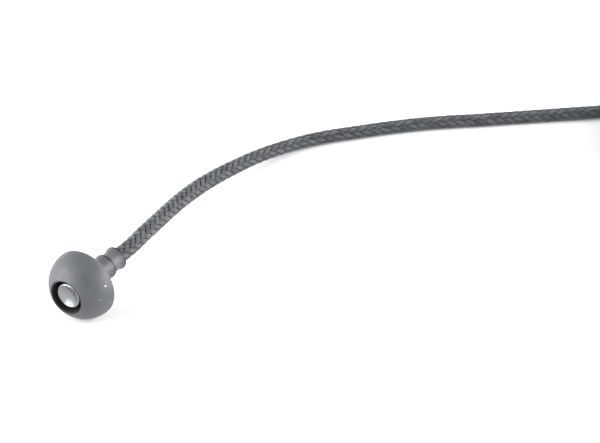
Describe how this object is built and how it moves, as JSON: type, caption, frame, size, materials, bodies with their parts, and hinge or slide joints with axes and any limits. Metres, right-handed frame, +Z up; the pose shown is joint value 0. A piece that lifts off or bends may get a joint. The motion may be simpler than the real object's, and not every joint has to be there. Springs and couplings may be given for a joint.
{
  "type": "cable shutter release",
  "caption": "Braided cable release for a camera: a push button in a round ball grip drives a wire that pushes a pin out of a screw-in tip.",
  "frame": {"origin": "on the table under the middle of the grip, halfway between its front rim and the gland's end", "axes": "+X along the grip's axis from the button to the cord, +Z up, +Y to the left of the cord"},
  "size_m": [0.2286, 0.1365, 0.019],
  "materials": {
    "grey_enamel": "matt grey stoved enamel on turned aluminium",
    "black_plastic": "moulded black",
    "polished_metal": "turned and polished",
    "steel": "drawn wire and ground rod",
    "brass": "turned",
    "black_steel": "blackened spring steel",
    "braid": "dark grey two-over-two braid",
    "nickel": "satin nickel plate on brass"
  },
  "bodies": {
    "grip": {"grip_shell": "grey_enamel", "recess_liner": "black_plastic", "guide_bush": "brass", "return_spring": "steel", "cord_gland": "grey_enamel", "gland_ferrule": "brass", "conduit_end": "steel", "cord_run": "braid", "cord_coil": "braid", "cord_tail": "braid", "tip_ferrule": "grey_enamel", "tip_conduit": "steel", "tip_barrel": "nickel"},
    "plunger": {"button": "polished_metal", "plunger_rod": "steel", "retaining_clip": "black_steel", "drive_wire": "steel"},
    "pin": {"release_pin": "steel", "pin_sleeve": "brass", "pin_wire": "steel"},
    "collar": {"thread_collar": "nickel", "collar_ring": "brass"}
  },
  "joints": [
    {"name": "button_press", "type": "slide", "parent": "grip", "child": "plunger", "axis": [1, 0, 0], "range_m": [0, 0.004], "stiffness_N_per_m": 300, "springref_m": -0.004, "deforming": ["return_spring"]},
    {"name": "pin_extend", "type": "slide", "parent": "grip", "child": "pin", "axis": [1, 0, 0], "range_m": [0, 0.004]},
    {"name": "collar_spin", "type": "hinge", "parent": "grip", "child": "collar", "pos_m": [0.2075, -0.081, 0.0034], "axis": [1, 0, 0], "continuous": true}
  ],
  "couplings": [
    {"joint": "pin_extend", "follows": "button_press", "ratio": 1}
  ]
}
